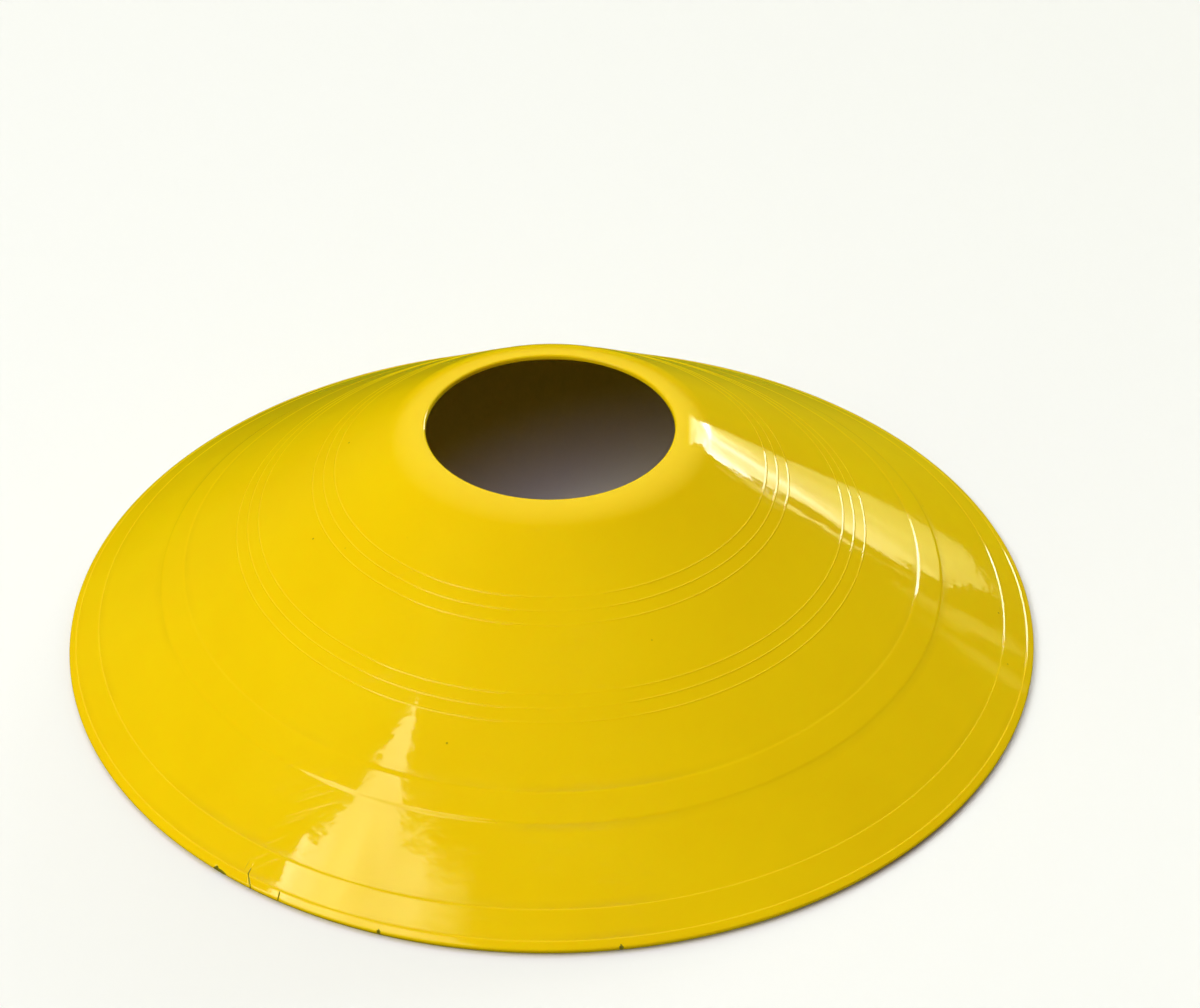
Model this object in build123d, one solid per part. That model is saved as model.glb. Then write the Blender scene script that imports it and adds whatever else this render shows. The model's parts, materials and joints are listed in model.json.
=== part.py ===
from build123d import *
from math import asin, atan2, cos, hypot, pi, sin, tan
import os

# Saucer-shaped sports marker cone: one moulded shell with a centre hole, two groups of ribs, a raised band
# and a stepped, beaded rim. Millimetres, with +Z up along the axis and the origin on the ground.

# Overall sizes
RIM_DIAMETER = 200.0
HEIGHT = 50.0
HOLE_DIAMETER = 50.0
WALL = 1.0              # thickness of the plain wall

# Lip round the hole
LIP_RADIUS = 12.5       # rounding from the flat top of the lip into the wall
HOLE_CHAMFER = 0.5      # eased upper edge of the hole

# Ribs: thin raised lines that run round the wall in groups. Widths are in plan, half-way up the sides.
RIB_GROUPS = 2
RIBS_IN_GROUP = 3
RIB_PITCH = 2.3         # plan spacing of the ribs in a group
RIB_WIDTH = 0.6
RIB_RISE = 0.25

# Band: the raised flat ring below the ribs
BAND_WIDTH = 4.85
BAND_RISE = 0.3

# Flange and bead: the outermost wall stands a step higher, and its edge another step
FLANGE_WIDTH = 6.4      # plan width from the step to the rim
FLANGE_RISE = 0.3
BEAD_WIDTH = 1.5        # plan width from the bead's step to the rim
BEAD_RISE = 0.3
STEP_WIDTH = 0.35       # plan width of the slanted sides of the ribs, the band, the flange and the bead

# Rim edge and foot
RIM_EDGE_RADIUS = 1.0   # rounding of the rim's upper edge
RIM_EDGE_FLAT = 0.8     # upright face under the rounding
RIM_CHAMFER_WIDTH = 1.0
RIM_CHAMFER_HEIGHT = 0.8
FOOT_WIDTH = 1.5        # flat ring that the shell stands on, inside the chamfer

# The rib groups, the band and the flange's step are evenly spaced, counted from this far outside the hole
SPACING_START = 5.0

rim_radius = RIM_DIAMETER / 2
hole_radius = HOLE_DIAMETER / 2
flange_radius = rim_radius - FLANGE_WIDTH
foot_outer_radius = rim_radius - RIM_CHAMFER_WIDTH
foot_inner_radius = foot_outer_radius - FOOT_WIDTH

# The wall's face is the straight line that touches the lip's rounding and, set back by the two rises,
# the rim's rounding. Points are (distance from the axis, height).
rim_rise = FLANGE_RISE + BEAD_RISE
lip_centre = (hole_radius + HOLE_CHAMFER, HEIGHT - LIP_RADIUS)
rim_centre = (rim_radius - RIM_EDGE_RADIUS, RIM_CHAMFER_HEIGHT + RIM_EDGE_FLAT)
run = rim_centre[0] - lip_centre[0]
drop = lip_centre[1] - rim_centre[1]
wall_slope = atan2(drop, run) + asin((LIP_RADIUS - RIM_EDGE_RADIUS + rim_rise) / hypot(run, drop))


def round_point(centre, radius, angle):
    """The point of a rounding that faces this far from straight up, towards the rim."""
    return (centre[0] + radius * sin(angle), centre[1] + radius * cos(angle))


def rounding(centre, radius, start_angle, end_angle):
    """An arc of the section between two facing angles."""
    angles = (start_angle, (start_angle + end_angle) / 2, end_angle)
    return ThreePointArc(*[round_point(centre, radius, angle) for angle in angles])


def on_wall(radius, rise=0.0):
    """The point at this distance from the axis on the wall's face, lifted square to the wall by rise."""
    lip_end = round_point(lip_centre, LIP_RADIUS, wall_slope)
    height = lip_end[1] - (radius - lip_end[0]) * tan(wall_slope)
    return (radius + rise * sin(wall_slope), height + rise * cos(wall_slope))


def hole_and_lip():
    """Upright wall of the hole, its eased upper edge and the lip's rounding down to the wall."""
    lip = rounding(lip_centre, LIP_RADIUS, 0, wall_slope)
    hole_top = (hole_radius, HEIGHT - HOLE_CHAMFER)
    return [Line((hole_radius, HEIGHT - WALL), hole_top), Line(hole_top, lip @ 0), lip]


def step(radius, low, high):
    """The slanted side of a raised ring, from one height above the wall to another."""
    return [Line(on_wall(radius - STEP_WIDTH / 2, low), on_wall(radius + STEP_WIDTH / 2, high))]


def raised_ring(radius, width, rise):
    """A flat-topped ring that stands on the wall: a step up and a step down."""
    return [step(radius - width / 2, 0, rise), step(radius + width / 2, rise, 0)]


def rib_group(radius):
    """The ribs of one group, evenly spaced about the group's middle."""
    first = radius - RIB_PITCH * (RIBS_IN_GROUP - 1) / 2
    ribs = []
    for place in range(RIBS_IN_GROUP):
        ribs += raised_ring(first + RIB_PITCH * place, RIB_WIDTH, RIB_RISE)
    return ribs


def rim_edge():
    """Rounded upper edge, upright face and chamfer, from the top of the bead down to the foot."""
    upper = rounding(rim_centre, RIM_EDGE_RADIUS, wall_slope, pi / 2)
    chamfer = Line((rim_radius, RIM_CHAMFER_HEIGHT), (foot_outer_radius, 0))
    return [upper, Line(upper @ 1, chamfer @ 0), chamfer]


def underside():
    """The foot's inner side, and the plain inner face that follows the wall and the lip one thickness in."""
    foot_top = (foot_inner_radius, on_wall(foot_inner_radius)[1] - WALL / cos(wall_slope))
    inner_lip = rounding(lip_centre, LIP_RADIUS - WALL, wall_slope, 0)
    return [Line((foot_inner_radius, 0), foot_top), Line(foot_top, inner_lip @ 0), inner_lip]


def half_section():
    """The closed outline of the shell on one side of its axis: its features, joined by straight runs."""
    spacing_start = hole_radius + SPACING_START
    spaces = RIB_GROUPS + 2  # one up to each group, one to the band and one to the flange's step
    spacing = (flange_radius - spacing_start) / spaces
    features = [hole_and_lip()]
    for group in range(RIB_GROUPS):
        features += rib_group(spacing_start + spacing * (group + 1))
    features += raised_ring(flange_radius - spacing, BAND_WIDTH, BAND_RISE)
    features.append(step(flange_radius, 0, FLANGE_RISE))
    features.append(step(rim_radius - BEAD_WIDTH, FLANGE_RISE, rim_rise))
    features += [rim_edge(), underside()]
    outline = []
    for feature, following in zip(features, features[1:] + features[:1]):
        outline += feature
        outline.append(Line(feature[-1] @ 1, following[0] @ 0))
    return Plane.XZ * make_face(outline)


disc_cone = revolve(half_section(), Axis.Z)

os.makedirs("parts", exist_ok=True)
export_step(disc_cone, "parts/disc_cone.step")
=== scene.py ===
from math import ceil, cos, pi, radians, sin, tan
import json

import bpy
from mathutils import Matrix, Vector, noise


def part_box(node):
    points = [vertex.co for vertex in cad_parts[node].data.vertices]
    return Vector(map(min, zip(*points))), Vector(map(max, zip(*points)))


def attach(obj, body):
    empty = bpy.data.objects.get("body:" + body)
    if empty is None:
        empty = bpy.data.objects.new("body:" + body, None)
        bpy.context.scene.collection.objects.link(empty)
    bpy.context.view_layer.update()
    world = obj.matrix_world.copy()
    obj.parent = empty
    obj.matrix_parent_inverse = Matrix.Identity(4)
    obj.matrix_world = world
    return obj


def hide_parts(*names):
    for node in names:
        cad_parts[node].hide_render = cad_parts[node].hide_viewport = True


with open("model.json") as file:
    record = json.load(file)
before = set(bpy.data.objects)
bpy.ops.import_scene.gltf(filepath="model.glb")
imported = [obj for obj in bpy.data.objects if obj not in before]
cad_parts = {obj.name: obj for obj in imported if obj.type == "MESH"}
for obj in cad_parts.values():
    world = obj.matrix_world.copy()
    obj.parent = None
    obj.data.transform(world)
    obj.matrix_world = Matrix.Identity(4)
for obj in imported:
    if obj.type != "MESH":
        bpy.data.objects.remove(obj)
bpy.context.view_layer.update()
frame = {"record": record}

# The shell is the marker's only piece: a thin saucer of yellow polyethylene, injected in one shot into a
# polished mould. Nothing is fixed to it: it stands on the flat foot under its rim. Its half-section below, in
# millimetres as (radius, height), is turned about the upright axis.

MM = 0.001
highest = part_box("disc_cone")[1]
hole_mount = next(mount for mount in frame["record"]["mounts"] if mount["name"] == "centre_hole")

WALL = 1.0
WALL_SLOPE = radians(34.539)    # the wall's fall from level
HEIGHT = highest[2] / MM

HOLE_RADIUS = hole_mount["dims"]["r_mm"]
HOLE_ROUNDING = 0.5
LIP_RADIUS = 12.5
LIP_CENTRE = (HOLE_RADIUS + HOLE_ROUNDING, HEIGHT - LIP_RADIUS)

RIB_RADII = (43.6, 45.9, 48.2, 59.5, 61.8, 64.1)
RIB_RISE = 0.065
RIB_INNER_SIDE = 0.2            # plan width of a rib's side that faces the hole
RIB_OUTER_SIDE = 0.12

BAND_RADIUS = 77.7
BAND_WIDTH = 4.85
BAND_RISE = 0.065
BAND_UPPER_SIDE = 0.65          # plan width of the rise at the band's upper edge
BAND_LOWER_SIDE = 0.57

FLANGE_STEP_RADIUS = 93.6
FLANGE_RISE = 0.07
BEAD_STEP_RADIUS = 98.5
BEAD_RISE = 0.085
RIM_STEP_WIDTH = 0.27           # plan width of the flange's and the bead's steps

RIM_RADIUS = highest[0] / MM
RIM_RISE = FLANGE_RISE + BEAD_RISE
RIM_EDGE_RADIUS = 0.5
RIM_EDGE_LEAN = radians(126)    # how far the rim's underside faces from straight up
FOOT_INNER_RADIUS = 97.5


def rounding(centre, radius, start_angle, end_angle, pieces):
    """Points of an arc; angles are from straight up, towards the rim."""
    points = []
    for piece in range(pieces + 1):
        angle = start_angle + (end_angle - start_angle) * piece / pieces
        points.append((centre[0] + radius * sin(angle), centre[1] + radius * cos(angle)))
    return points


def on_wall(radius, rise):
    """The point at this distance from the axis on the wall's face, lifted square to the wall by rise."""
    lip_end = rounding(LIP_CENTRE, LIP_RADIUS, 0, WALL_SLOPE, pieces=1)[-1]
    height = lip_end[1] - (radius - lip_end[0]) * tan(WALL_SLOPE)
    return (radius + rise * sin(WALL_SLOPE), height + rise * cos(WALL_SLOPE))


# Every rounded step of the outer face, up or down: (radius of its middle, plan width, rise)
STEPS = [
    (BAND_RADIUS - BAND_WIDTH / 2, BAND_UPPER_SIDE, BAND_RISE),
    (BAND_RADIUS + BAND_WIDTH / 2, BAND_LOWER_SIDE, -BAND_RISE),
    (FLANGE_STEP_RADIUS, RIM_STEP_WIDTH, FLANGE_RISE),
    (BEAD_STEP_RADIUS, RIM_STEP_WIDTH, BEAD_RISE),
]
for rib in RIB_RADII:
    STEPS.append((rib - RIB_INNER_SIDE / 2, RIB_INNER_SIDE, RIB_RISE))
    STEPS.append((rib + RIB_OUTER_SIDE / 2, RIB_OUTER_SIDE, -RIB_RISE))


def rise_at(radius):
    """How far the ribs, the band, the flange and the bead stand above the plain wall at this radius."""
    total = 0.0
    for middle, width, rise in STEPS:
        share = min(max((radius - middle) / width + 0.5, 0.0), 1.0)
        total += rise * share * share * (3 - 2 * share)
    return total


def with_fill(places, longest):
    """The places, with evenly spaced ones added wherever two are further apart than longest."""
    full = []
    for place, following in zip(places, places[1:]):
        pieces = ceil((following - place) / longest)
        full += [place + (following - place) * piece / pieces for piece in range(pieces)]
    return full + [places[-1]]


def wall_radii(start, end):
    """Radii at which the wall is cut into rows: close over ribs, steps and nicks, and wider in between."""
    pieces, beside, widest_row, digits = 5, 0.12, 1.3, 4
    nick_row, nick_rows_start = 0.3, 96.6
    places = {start, end}
    for middle, width, _ in STEPS:
        places.update(round(middle + width * (piece / pieces - 0.5), digits) for piece in range(pieces + 1))
        places.add(round(middle - width / 2 - beside, digits))
        places.add(round(middle + width / 2 + beside, digits))
    wide = [place for place in sorted(places) if place < nick_rows_start]
    close = [place for place in sorted(places) if place >= nick_rows_start]
    return with_fill(wide + close[:1], widest_row)[:-1] + with_fill(close, nick_row)


def outer_outline():
    """The face that shows: up the hole, over the lip, down the wall and round the rim to the foot."""
    hole_pieces, lip_pieces, rim_pieces = 5, 16, 8
    hole_centre = (HOLE_RADIUS + HOLE_ROUNDING, HEIGHT - HOLE_ROUNDING)
    hole_edge = rounding(hole_centre, HOLE_ROUNDING, -pi / 2, 0, hole_pieces)
    lip = rounding(LIP_CENTRE, LIP_RADIUS, 0, WALL_SLOPE, lip_pieces)
    wall_end = RIM_RADIUS - RIM_EDGE_RADIUS - (RIM_RISE - RIM_EDGE_RADIUS) * sin(WALL_SLOPE)
    rim_centre = on_wall(wall_end, RIM_RISE - RIM_EDGE_RADIUS)
    rim_edge = rounding(rim_centre, RIM_EDGE_RADIUS, WALL_SLOPE, RIM_EDGE_LEAN, rim_pieces)
    undercut = rim_edge[-1][1] * tan(RIM_EDGE_LEAN - pi / 2)
    foot_edge = (rim_edge[-1][0] - undercut, 0.0)
    wall = [on_wall(radius, rise_at(radius)) for radius in wall_radii(lip[-1][0], wall_end)]
    return hole_edge + lip[1:] + wall[1:-1] + rim_edge + [foot_edge]


def inner_outline():
    """The open underside: the foot's inner side, then one wall thickness inside the wall and the lip."""
    row_count, lip_pieces = 5, 8
    foot_top = (FOOT_INNER_RADIUS, on_wall(FOOT_INNER_RADIUS, 0)[1] - WALL / cos(WALL_SLOPE))
    lip = rounding(LIP_CENTRE, LIP_RADIUS - WALL, WALL_SLOPE, 0, lip_pieces)
    rows = []
    for row in range(1, row_count):
        share = row / row_count
        rows.append(tuple(a + (b - a) * share for a, b in zip(foot_top, lip[0])))
    return [(FOOT_INNER_RADIUS, 0.0), foot_top] + rows + lip + [(HOLE_RADIUS, HEIGHT - WALL)]


outer = outer_outline()
outline = outer + inner_outline()

# Small damage that use has left in the rim; azimuths are in degrees from the front, positive to the right.
# V-shaped bites out of its edge: (azimuth, half-width in degrees, depth)
RIM_BITES = (
    (-40.0, 0.35, 0.5),
    (-39.5, 0.95, 0.22),
    (-19.2, 0.22, 0.3),
    (7.0, 0.25, 0.25),
)
# Thin cuts that run in from it: (azimuth of the inner end and at the edge, inner radius, half-width, depth)
RIM_CUTS = (
    (-36.9, -35.1, 97.1, 0.07, 0.15),
    (-31.6, -31.4, 98.7, 0.07, 0.2),
)


def bite_depth(azimuth):
    """How deep the bites go into the rim at this azimuth."""
    deepest = 0.0
    for middle, half_width, depth in RIM_BITES:
        deepest = max(deepest, depth * (1 - abs(azimuth - middle) / half_width))
    return deepest


def cut_share(azimuth, radius, cut):
    """How far a place of the rim is inside one cut, from 0 to 1."""
    deepening = 3               # a cut has its full depth from a third of the way along
    inner_azimuth, edge_azimuth, inner_radius, half_width, _ = cut
    along = (radius - inner_radius) / (RIM_RADIUS - inner_radius)
    if along <= 0:
        return 0.0
    middle = inner_azimuth + (edge_azimuth - inner_azimuth) * along
    return max(0.0, 1 - abs(azimuth - middle) / half_width) * min(1.0, deepening * along)


def damage_share(azimuth, radius):
    """How far a place of the shell is inside the rim's damage, from 0 to 1."""
    if radius > RIM_RADIUS - bite_depth(azimuth):
        return 1.0
    return max(cut_share(azimuth, radius, cut) for cut in RIM_CUTS)


def column_azimuths():
    """Azimuths of the mesh's columns in degrees: evenly spaced, and close together over bites and cuts."""
    even_columns, columns_per_half_width, closest = 400, 2, 0.02
    azimuths = [360 * column / even_columns - 180 for column in range(even_columns)]
    spans = [(middle - half_width, middle + half_width, half_width) for middle, half_width, _ in RIM_BITES]
    for inner_azimuth, edge_azimuth, _, half_width, _ in RIM_CUTS:
        ends = sorted((inner_azimuth, edge_azimuth))
        spans.append((ends[0] - half_width, ends[1] + half_width, half_width))
    for start, end, half_width in spans:
        count = ceil((end - start) / half_width * columns_per_half_width)
        azimuths += [start + (end - start) * column / count for column in range(count + 1)]
    spread = []
    for azimuth in sorted(azimuths):
        if not spread or azimuth - spread[-1] > closest:
            spread.append(azimuth)
    return spread


azimuths = column_azimuths()

# A thin moulding is never quite true: (height of the waves, their length), from broad hollows to ripples.
# The lip and the rim are stiffer, so the waves grow from one radius and die out before another.
WAVES = ((0.03, 26.0), (0.011, 9.0), (0.003, 4.5))
WAVES_START = 27.0
WAVES_GROWTH = 8.0              # width over which they grow
WAVES_END = 99.2
WAVES_DECLINE = 3.0             # width over which they die out


def waviness(point, radius):
    """How far the moulding's outer face stands off its drawn line at this point."""
    apart = 40.0                # shift that gives each kind of wave a noise of its own
    lift = 0.0
    for number, (wave_height, length) in enumerate(WAVES):
        lift += wave_height * noise.noise(point / length + Vector((apart * number, 0.0, 0.0)))
    grown = min(1.0, max(0.0, radius - WAVES_START) / WAVES_GROWTH)
    left_over = min(1.0, max(0.0, WAVES_END - radius) / WAVES_DECLINE)
    return grown * left_over * lift


# Stacking has worn the ribs low in places: (azimuth of the middle, half-width in degrees, share worn away)
RIB_WEAR = (
    (4.0, 16.0, 0.7),
    (-95.0, 60.0, 0.3),
)


def rib_wear(azimuth, radius):
    """The share of a rib's rise that is worn away at this azimuth, unevenly along the rib."""
    least_worn, unevenness = 0.1, 0.5
    patch_length, patch_width = 7.0, 3.0
    worn = least_worn
    for middle, half_width, share in RIB_WEAR:
        worn = max(worn, share * min(1.0, 2 - 2 * abs(azimuth - middle) / half_width))
    return worn * (1 + unevenness * noise.noise((azimuth / patch_length, radius / patch_width, 0.0)))


def outline_normal(place):
    """The outward direction of the shell's outline at one of its points, as (radius, height)."""
    before = outline[place - 1]
    after = outline[(place + 1) % len(outline)]
    along = Vector((after[0] - before[0], after[1] - before[1])).normalized()
    return (-along[1], along[0])


normals = [outline_normal(place) for place in range(len(outline))]


def around(azimuth, radius, height):
    """The point at this azimuth in degrees, this distance from the axis and this height."""
    return Vector((radius * sin(radians(azimuth)), -radius * cos(radians(azimuth)), height))


def shell_point(place, azimuth):
    """A point of the shell, with the moulding's waviness, the ribs' wear and the rim's bites and cuts."""
    radius, height = outline[place]
    lift = 0.0
    if place < len(outer):
        lift += waviness(around(azimuth, radius, height), radius)
        for cut in RIM_CUTS:
            lift -= cut[-1] * cut_share(azimuth, radius, cut)
        if RIB_RADII[0] - RIB_INNER_SIDE < radius < RIB_RADII[-1] + RIB_INNER_SIDE:
            rib_rise = (height - on_wall(radius, 0)[1]) * cos(WALL_SLOPE)
            lift -= rib_rise * min(1.0, rib_wear(azimuth, radius))
    reach = min(radius + normals[place][0] * lift, RIM_RADIUS - bite_depth(azimuth))
    return around(azimuth, reach, max(0.0, height + normals[place][1] * lift)) * MM


def turned_mesh(name, columns, rows, closed):
    """A smooth mesh of columns of points that stand round an axis; closed joins each column's ends."""
    faces = []
    for column in range(len(columns)):
        here = column * rows
        there = (column + 1) % len(columns) * rows
        for row in range(rows if closed else rows - 1):
            above = (row + 1) % rows
            faces.append((here + row, here + above, there + above, there + row))
    mesh = bpy.data.meshes.new(name)
    mesh.from_pydata([point for column in columns for point in column], [], faces)
    mesh.polygons.foreach_set("use_smooth", [True] * len(faces))
    return mesh


SHARP_ANGLE = radians(40)       # faces that turn further than this from each other meet in a crisp edge
shell_columns = [[shell_point(place, azimuth) for place in range(len(outline))] for azimuth in azimuths]
shell_mesh = turned_mesh("disc_cone_shell", shell_columns, len(outline), closed=True)
shell_mesh.set_sharp_from_angle(angle=SHARP_ANGLE)
shell = bpy.data.objects.new("disc_cone_shell", shell_mesh)
bpy.context.scene.collection.objects.link(shell)


def corner_share(place):
    """How far a point of the outer face is in a corner beside a rib or a step, where grime stays and where
    painted shade darkens it.
    """
    reach = 0.6
    if place >= len(outer):
        return 0.0
    radius, _ = outline[place]
    hollow = rise_at(radius + reach) + rise_at(radius - reach) - 2 * rise_at(radius)
    return min(1.0, max(0.0, hollow / BAND_RISE))


def mark_points(name, value_at):
    """A named value on each of the shell's points, for its material."""
    values = [value_at(place, azimuth) for azimuth in azimuths for place in range(len(outline))]
    shell_mesh.attributes.new(name, "FLOAT", "POINT").data.foreach_set("value", values)


mark_points("corner", lambda place, azimuth: corner_share(place))
mark_points("damage", lambda place, azimuth: damage_share(azimuth, outline[place][0]))
mark_points("underside", lambda place, azimuth: float(place >= len(outer)))


def add_node(tree, kind, inputs, **settings):
    """A new node of a tree, with its settings made and its inputs set or linked by name or number."""
    made = tree.nodes.new(kind)
    for setting, value in settings.items():
        setattr(made, setting, value)
    for socket, value in inputs.items():
        if isinstance(value, bpy.types.NodeSocket):
            tree.links.new(value, made.inputs[socket])
        else:
            made.inputs[socket].default_value = value
    return made


plastic = bpy.data.materials.new("yellow_polyethylene")
plastic.use_nodes = True
tree = plastic.node_tree
gloss = tree.nodes["Principled BSDF"]
surface = add_node(tree, "ShaderNodeTexCoord", {}).outputs["Object"]


def mixed(tree, share, first, second):
    """The colour between two colours, by a share from 0 to 1."""
    node = add_node(tree, "ShaderNodeMix", {"Factor": share, "A": first, "B": second}, data_type="RGBA")
    return node.outputs["Result"]


def within(tree, value, none_at, full_at):
    """A share that goes from 0 to 1 as the value goes from none_at to full_at."""
    limits = {"Value": value, "From Min": none_at, "From Max": full_at}
    return add_node(tree, "ShaderNodeMapRange", limits).outputs["Result"]


def combined(tree, operation, *values):
    """The result of an operation on two or three values."""
    return add_node(tree, "ShaderNodeMath", dict(enumerate(values)), operation=operation).outputs[0]


def cloud(scale, detail):
    """Soft noise over the surface, from 0 to 1; scale is in waves to the metre."""
    node = add_node(tree, "ShaderNodeTexNoise", {"Vector": surface, "Scale": scale, "Detail": detail})
    return node.outputs["Fac"]


def mark(name):
    """A value that the mesh carries on its points."""
    return add_node(tree, "ShaderNodeAttribute", {}, attribute_name=name).outputs["Fac"]


# Colour: yellow pigment, a little deeper in soft patches where it flowed unevenly into the mould
DEEP_YELLOW = (0.90, 0.580, 0.001, 1.0)
BRIGHT_YELLOW = (0.94, 0.622, 0.0015, 1.0)
flow = within(tree, cloud(scale=28.0, detail=3.0), none_at=0.3, full_at=0.7)
colour = mixed(tree, flow, DEEP_YELLOW, BRIGHT_YELLOW)

# A trace of grime and painted shade in the corners of the ribs and steps, broken into patches
GRIME_AND_SHADE_COLOUR = (0.32, 0.22, 0.004, 1.0)
GRIME_AND_SHADE_COVER = 0.2
grime_and_shade_patches = within(tree, cloud(scale=40.0, detail=3.0), none_at=0.4, full_at=0.8)
grime_and_shade = combined(tree, "MULTIPLY", mark("corner"), grime_and_shade_patches)
colour = mixed(tree, combined(tree, "MULTIPLY", grime_and_shade, GRIME_AND_SHADE_COVER), colour, GRIME_AND_SHADE_COLOUR)

# A few dark specks, each in a cell of its own; about one cell in five has one
SPECK_COLOUR = (0.12, 0.09, 0.005, 1.0)
SPECK_COVER = 0.6
cells = add_node(tree, "ShaderNodeTexVoronoi", {"Vector": surface, "Scale": 150.0})
chance = add_node(tree, "ShaderNodeSeparateColor", {"Color": cells.outputs["Color"]}).outputs["Red"]
speck = within(tree, cells.outputs["Distance"], none_at=0.045, full_at=0.02)
speck = combined(tree, "MULTIPLY", speck, within(tree, chance, none_at=0.80, full_at=0.81))
colour = mixed(tree, combined(tree, "MULTIPLY", speck, SPECK_COVER), colour, SPECK_COLOUR)

# Painted shade in the rim's bites and cuts, which darkens them to a dark olive
DAMAGE_SHADE_COLOUR = (0.14, 0.15, 0.006, 1.0)
DAMAGE_SHADE_COVER = 0.85
in_damage = within(tree, mark("damage"), none_at=0.0, full_at=0.15)
colour = mixed(tree, combined(tree, "MULTIPLY", in_damage, DAMAGE_SHADE_COVER), colour, DAMAGE_SHADE_COLOUR)
tree.links.new(colour, gloss.inputs["Base Color"])


def scratches(turn, length, width, least):
    """Fine straight scratches in patches, from 0 to 1, all turned one way; a higher least leaves fewer."""
    softness = 0.04
    lay = add_node(tree, "ShaderNodeMapping", {
        "Vector": surface,
        "Rotation": (0.0, 0.0, radians(turn)),
        "Scale": (1 / length, 1 / width, 1 / length),
    }).outputs["Vector"]
    lines = add_node(tree, "ShaderNodeTexNoise", {"Vector": lay, "Scale": 1.0, "Detail": 0.0}).outputs["Fac"]
    patches = within(tree, cloud(scale=45.0, detail=1.0), none_at=0.5, full_at=0.6)
    return combined(tree, "MULTIPLY", within(tree, lines, least, least + softness), patches)


# Gloss: near a mirror from the polished mould, duller in scratches, over grime and on the plainer underside
MIRROR_ROUGHNESS = 0.03
HAZE_ROUGHNESS = 0.04
SCUFF_ROUGHNESS = 0.1
GRIME_ROUGHNESS = 0.15
UNDERSIDE_ROUGHNESS = 0.3
DAMAGE_ROUGHNESS = 0.4
one_way = scratches(turn=25.0, length=0.012, width=0.0003, least=0.72)
other_way = scratches(turn=-50.0, length=0.009, width=0.00025, least=0.74)
scuffs = combined(tree, "ADD", one_way, other_way)
haze = within(tree, cloud(scale=60.0, detail=4.0), none_at=0.3, full_at=0.8)
roughness = combined(tree, "MULTIPLY_ADD", haze, HAZE_ROUGHNESS, MIRROR_ROUGHNESS)
for dull, amount in (
    (scuffs, SCUFF_ROUGHNESS),
    (grime_and_shade, GRIME_ROUGHNESS),
    (mark("underside"), UNDERSIDE_ROUGHNESS),
    (in_damage, DAMAGE_ROUGHNESS),
):
    roughness = combined(tree, "MULTIPLY_ADD", dull, amount, roughness)
tree.links.new(roughness, gloss.inputs["Roughness"])

# Fine ripples of the surface, in metres, and the scratches' depth as a share of them
RIPPLE_HEIGHT = 1.3e-5
SCRATCH_DEPTH = 0.1
relief = combined(tree, "MULTIPLY_ADD", scuffs, -SCRATCH_DEPTH, cloud(scale=330.0, detail=2.0))
bump = add_node(tree, "ShaderNodeBump", {"Height": relief, "Distance": RIPPLE_HEIGHT})
tree.links.new(bump.outputs["Normal"], gloss.inputs["Normal"])

# Thin polyethylene lets some light through
gloss.inputs["Subsurface Weight"].default_value = 0.25
gloss.inputs["Subsurface Radius"].default_value = (1.0, 0.55, 0.05)
gloss.inputs["Subsurface Scale"].default_value = 0.002
shell_mesh.materials.append(plastic)

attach(shell, "root")
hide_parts("disc_cone")

# The floor is a wide sheet of matt pale card under the marker, which sweeps up far away from it, all round.
# It isn't part of the object. It is pale where it is seen, and throws less light back up than it seems to.
FLOOR_RINGS = (0.1, 200.0, 1000.0, 3000.0)
FLOOR_RADIUS = 8000.0
SWEEP_RADIUS = 2500.0
SWEEP_PIECES = 12
FLOOR_TURN = 4                  # degrees between the floor's columns
CARD_SEEN = (0.92, 0.91, 0.99, 1.0)
CARD_THROWING_BACK = (0.35, 0.35, 0.35, 1.0)
floor_outline = [(radius, 0.0) for radius in FLOOR_RINGS]
floor_outline += rounding((FLOOR_RADIUS, SWEEP_RADIUS), SWEEP_RADIUS, pi, pi / 2, SWEEP_PIECES)
floor_columns = []
for azimuth in range(0, 360, FLOOR_TURN):
    floor_columns.append([around(azimuth, *point) * MM for point in floor_outline])
floor = bpy.data.objects.new("floor", turned_mesh("floor", floor_columns, len(floor_outline), closed=False))
bpy.context.scene.collection.objects.link(floor)
card = bpy.data.materials.new("pale_card")
card.use_nodes = True
tree = card.node_tree
rays = add_node(tree, "ShaderNodeLightPath", {}).outputs
seen = combined(tree, "ADD", rays["Is Camera Ray"], rays["Is Glossy Ray"])
seen = combined(tree, "ADD", seen, rays["Is Transmission Ray"])
pale = mixed(tree, seen, CARD_THROWING_BACK, CARD_SEEN)
tree.links.new(pale, tree.nodes["Principled BSDF"].inputs["Base Color"])
tree.nodes["Principled BSDF"].inputs["Roughness"].default_value = 0.9
floor.data.materials.append(card)
floor.visible_glossy = False

# Softboxes give the marker its highlights. They aren't part of the object. Each is a panel of glowing cloth
# far away, whose outline is drawn in the directions that it is seen in from one point of the marker.
PANEL_DISTANCE = 7.0
DIM_CLOTH = (1.0, 1.0, 0.25, 1.0)
BRIGHT_CLOTH = (0.95, 1.0, 0.92, 1.0)


def direction(azimuth, elevation):
    """The unit direction at this azimuth from the front and this elevation, both in degrees."""
    return around(azimuth, cos(radians(elevation)), sin(radians(elevation)))


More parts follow.
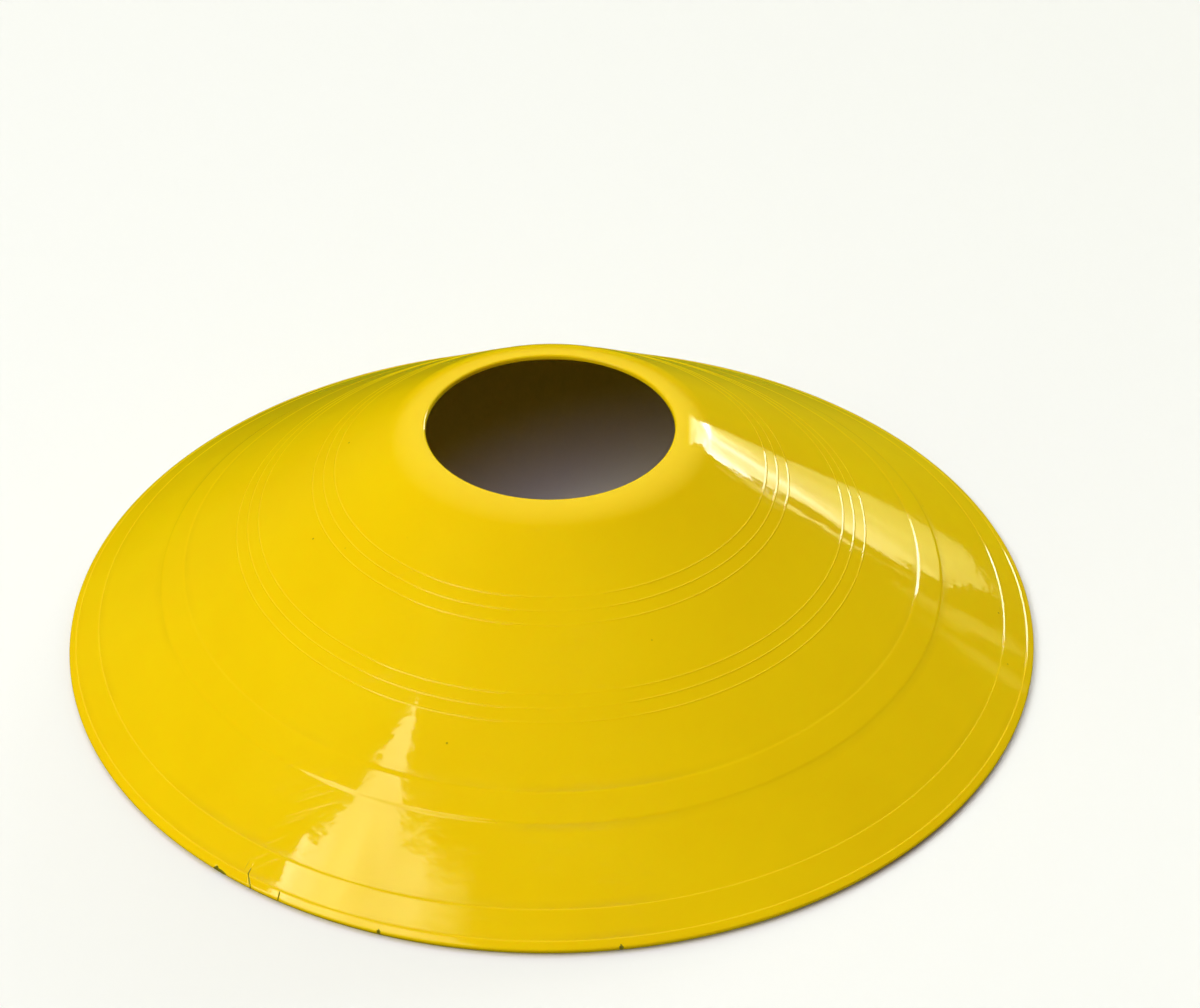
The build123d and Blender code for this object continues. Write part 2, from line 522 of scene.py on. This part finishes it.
cloth = bpy.data.materials.new("glowing_cloth")
cloth.use_nodes = True
tree = cloth.node_tree
tree.nodes.clear()
glow = add_node(tree, "ShaderNodeAttribute", {}, attribute_name="glow").outputs["Fac"]
spot = add_node(tree, "ShaderNodeTexCoord", {}).outputs["Object"]
folds = add_node(tree, "ShaderNodeTexNoise", {"Vector": spot, "Scale": 1.6, "Detail": 3.0}).outputs["Fac"]
folds = add_node(tree, "ShaderNodeMapRange", {
    "Value": folds, "From Min": 0.3, "From Max": 0.7, "To Min": 0.65, "To Max": 1.35,
}).outputs["Result"]
hue = mixed(tree, within(tree, glow, none_at=0.5, full_at=8.0), DIM_CLOTH, BRIGHT_CLOTH)
strength = combined(tree, "MULTIPLY", glow, folds)
light = add_node(tree, "ShaderNodeEmission", {"Color": hue, "Strength": strength})
add_node(tree, "ShaderNodeOutputMaterial", {"Surface": light.outputs["Emission"]})


def softbox(name, seen_from, ragged, rows):
    """A glowing panel, whose sides are ragged by so many degrees, and smoother low down.

    Each row is an elevation, the panel's left and right azimuth there, and its glow at left and right."""
    columns, row_height = 12, 0.35
    rag_height, fully_ragged_from = 0.9, 15
    left_noise, right_noise = 1.5, 7.5
    full_rows = []
    for row, following in zip(rows, rows[1:]):
        pieces = ceil(abs(following[0] - row[0]) / row_height)
        for piece in range(pieces):
            full_rows.append([a + (b - a) * piece / pieces for a, b in zip(row, following)])
    full_rows.append(rows[-1])
    corners = []
    glows = []
    for elevation, left, right, glow_left, glow_right in full_rows:
        rags = ragged * min(1.0, elevation / fully_ragged_from)
        left += rags * noise.noise((elevation / rag_height, left_noise, 0.0))
        right += rags * noise.noise((elevation / rag_height, right_noise, 0.0))
        for column in range(columns + 1):
            share = column / columns
            toward = direction(left + (right - left) * share, elevation)
            corners.append(Vector(seen_from) * MM + toward * PANEL_DISTANCE)
            glows.append(glow_left + (glow_right - glow_left) * share)
    faces = []
    for row in range(len(full_rows) - 1):
        for column in range(columns):
            here = row * (columns + 1) + column
            there = here + columns + 1
            faces.append((here, here + 1, there + 1, there))
    mesh = bpy.data.meshes.new(name)
    mesh.from_pydata(corners, [], faces)
    mesh.attributes.new("glow", "FLOAT", "POINT").data.foreach_set("value", glows)
    mesh.materials.append(cloth)
    panel = bpy.data.objects.new(name, mesh)
    panel.visible_camera = False
    bpy.context.scene.collection.objects.link(panel)


# The highlight at the front left, which fades out along its upper edge, and dimmer light under it that
# catches the rim's edge
FRONT_WALL = (-32.5, -73.1, 15.0)
softbox("front_softbox", FRONT_WALL, ragged=0.8, rows=(
    (64.7, -36.5, -28.0, 2.2, 2.2),
    (63.8, -43.0, -26.0, 3.0, 2.4),
    (63.0, -48.5, -24.0, 3.6, 2.5),
    (62.0, -53.5, -23.0, 3.9, 2.3),
    (61.0, -58.5, -22.0, 4.1, 2.1),
    (60.75, -62.5, -22.0, 4.4, 1.9),
    (60.5, -65.5, -22.0, 4.8, 1.8),
    (60.3, -69.4, -22.0, 5.0, 1.7),
    (59.2, -70.8, -22.0, 5.0, 1.6),
    (58.3, -71.6, -22.0, 4.5, 1.6),
    (57.0, -72.9, -23.5, 4.2, 1.5),
    (55.8, -73.8, -24.5, 4.3, 1.5),
    (53.5, -76.6, -27.0, 5.4, 1.5),
    (51.8, -79.6, -28.0, 5.8, 1.5),
    (46.0, -79.6, -31.0, 4.8, 1.7),
    (38.0, -78.0, -33.0, 4.0, 2.0),
    (34.0, -77.0, -34.0, 1.2, 1.2),
    (8.0, -80.0, -36.0, 0.9, 0.9),
))
softbox("front_softbox_edge", FRONT_WALL, ragged=0.0, rows=(
    (65.6, -37.5, -29.0, 0.1, 1.6),
    (64.7, -43.3, -35.5, 0.1, 2.2),
    (63.8, -49.0, -42.0, 0.1, 3.0),
    (63.0, -53.0, -47.5, 0.1, 3.6),
    (62.0, -57.2, -52.5, 0.1, 3.9),
    (61.0, -60.5, -57.5, 0.1, 4.1),
    (60.8, -62.0, -61.0, 0.1, 4.2),
))

# The bright stripe down the right, brightest at the lip, with a thin line and two faint ones beside it
RIGHT_WALL = (60.0, -2.0, 29.0)
softbox("back_softbox", RIGHT_WALL, ragged=1.0, rows=(
    (0.2, 147.5, 150.2, 1.1, 1.0),
    (2.6, 144.7, 149.9, 1.4, 1.3),
    (4.7, 142.3, 149.6, 1.5, 1.6),
    (6.5, 140.6, 149.2, 1.7, 2.3),
    (8.0, 139.7, 149.2, 1.8, 3.4),
    (9.5, 138.8, 149.4, 2.0, 5.5),
    (11.0, 138.2, 149.8, 2.3, 8.0),
    (12.5, 137.5, 150.2, 2.7, 16.0),
    (14.5, 137.7, 150.7, 3.6, 20.0),
    (16.0, 137.3, 151.2, 5.0, 20.0),
    (18.0, 136.1, 152.2, 8.0, 13.0),
    (19.8, 134.8, 153.3, 9.5, 8.0),
    (22.0, 135.4, 154.9, 10.5, 6.0),
    (24.0, 137.6, 156.2, 11.0, 5.5),
    (26.0, 141.6, 159.0, 10.5, 5.0),
    (28.5, 145.6, 161.0, 9.5, 4.5),
    (31.5, 150.0, 161.5, 8.0, 4.0),
    (34.0, 154.5, 160.5, 6.0, 3.5),
    (36.5, 157.5, 160.0, 0.5, 0.5),
))
softbox("back_softbox_edge", RIGHT_WALL, ragged=0.0, rows=(
    (24.0, 156.2, 159.5, 5.5, 0.3),
    (26.0, 159.0, 162.5, 5.0, 0.3),
    (28.5, 161.0, 165.0, 4.5, 0.3),
    (31.5, 161.5, 166.0, 4.0, 0.3),
    (34.0, 160.5, 165.0, 3.5, 0.3),
    (36.5, 160.0, 163.0, 0.5, 0.1),
))
softbox("thin_strip", RIGHT_WALL, ragged=0.6, rows=(
    (13.0, 135.3, 135.8, 0.6, 0.6),
    (14.5, 135.0, 135.5, 1.2, 1.2),
    (16.0, 134.8, 135.4, 2.8, 2.8),
    (17.4, 134.7, 135.3, 3.4, 3.4),
    (18.5, 134.3, 134.9, 1.8, 1.8),
    (20.0, 133.3, 133.9, 1.3, 1.3),
    (22.0, 132.0, 132.6, 1.8, 1.8),
    (23.0, 131.4, 132.0, 1.0, 1.0),
))
softbox("faint_strip", RIGHT_WALL, ragged=0.6, rows=(
    (17.0, 129.9, 132.0, 0.3, 0.3),
    (15.5, 131.0, 133.0, 0.8, 0.8),
    (14.0, 132.0, 133.8, 1.0, 1.0),
    (12.0, 133.2, 134.8, 0.8, 0.8),
    (10.8, 134.0, 135.4, 0.3, 0.3),
))
softbox("fainter_strip", RIGHT_WALL, ragged=0.6, rows=(
    (19.3, 126.6, 128.4, 0.3, 0.3),
    (18.3, 127.0, 128.9, 0.7, 0.7),
    (17.0, 127.2, 129.2, 0.8, 0.8),
    (15.8, 127.6, 129.4, 0.3, 0.3),
))

# A large round lamp up to the left lights everything evenly. It isn't part of the object, and the glossy
# surface doesn't mirror it.
OVERHEAD_DIRECTION = direction(-55, 68)
OVERHEAD_DISTANCE = 3.0
overhead_data = bpy.data.lights.new("overhead_lamp", "AREA")
overhead_data.shape = "DISK"
overhead_data.size = 4.68
overhead_data.energy = 78.0
overhead_data.color = (1.0, 0.98, 1.25)
overhead = bpy.data.objects.new("overhead_lamp", overhead_data)
overhead.location = OVERHEAD_DIRECTION * OVERHEAD_DISTANCE
overhead.rotation_euler = OVERHEAD_DIRECTION.to_track_quat("Z", "Y").to_euler()
overhead.visible_camera = False
overhead.visible_glossy = False
bpy.context.scene.collection.objects.link(overhead)

# Dim surroundings. The far side mirrors what lies below the horizon, dark green at the left and warm at the
# right, and the ring round the hole mirrors a brighter part of the sky behind.
GREEN_GROUND = (0.12, 0.16, 0.003, 1.0)
WARM_GROUND = (0.40, 0.37, 0.015, 1.0)
DIM_SKY = (0.06, 0.06, 0.03, 1.0)
BRIGHT_SKY = (0.95, 1.05, 0.45, 1.0)
BRIGHT_SKY_DIRECTION = direction(180, 52)
sky = bpy.data.worlds.new("soft_sky")
sky.use_nodes = True
bpy.context.scene.world = sky
tree = sky.node_tree
look = add_node(tree, "ShaderNodeTexCoord", {}).outputs["Generated"]
toward = add_node(tree, "ShaderNodeSeparateXYZ", {"Vector": look}).outputs
to_the_right = within(tree, toward["X"], none_at=-0.2, full_at=0.2)
ground = mixed(tree, to_the_right, GREEN_GROUND, WARM_GROUND)
behind = add_node(tree, "ShaderNodeVectorMath", {0: look, 1: BRIGHT_SKY_DIRECTION}, operation="DOT_PRODUCT")
brightness = within(tree, behind.outputs["Value"], none_at=0.7, full_at=1.0)
upper = mixed(tree, brightness, DIM_SKY, BRIGHT_SKY)
above_ground = within(tree, toward["Z"], none_at=-0.08, full_at=0.2)
surroundings = mixed(tree, above_ground, ground, upper)
tree.links.new(surroundings, tree.nodes["Background"].inputs["Color"])

# The camera stands where the photograph was taken from, fitted to the rings of the wall: its angles are in
# degrees, and the last three turn it from looking straight at the origin.
CAMERA_DISTANCE = 0.69427
CAMERA_ELEVATION = 38.3495
CAMERA_PITCH = 2.0057
CAMERA_YAW = 0.8448
CAMERA_ROLL = -0.5999
camera_data = bpy.data.cameras.new("camera")
camera_data.lens = 99.55
camera_data.sensor_width = 36.0
camera = bpy.data.objects.new("camera", camera_data)
bpy.context.scene.collection.objects.link(camera)
turn = Matrix.Rotation(radians(90 - CAMERA_ELEVATION + CAMERA_PITCH), 4, "X")
turn = turn @ Matrix.Rotation(radians(-CAMERA_YAW), 4, "Y") @ Matrix.Rotation(radians(CAMERA_ROLL), 4, "Z")
camera.matrix_world = Matrix.Translation(direction(0, CAMERA_ELEVATION) * CAMERA_DISTANCE) @ turn
bpy.context.scene.camera = camera

bpy.context.scene.view_settings.view_transform = "Standard"
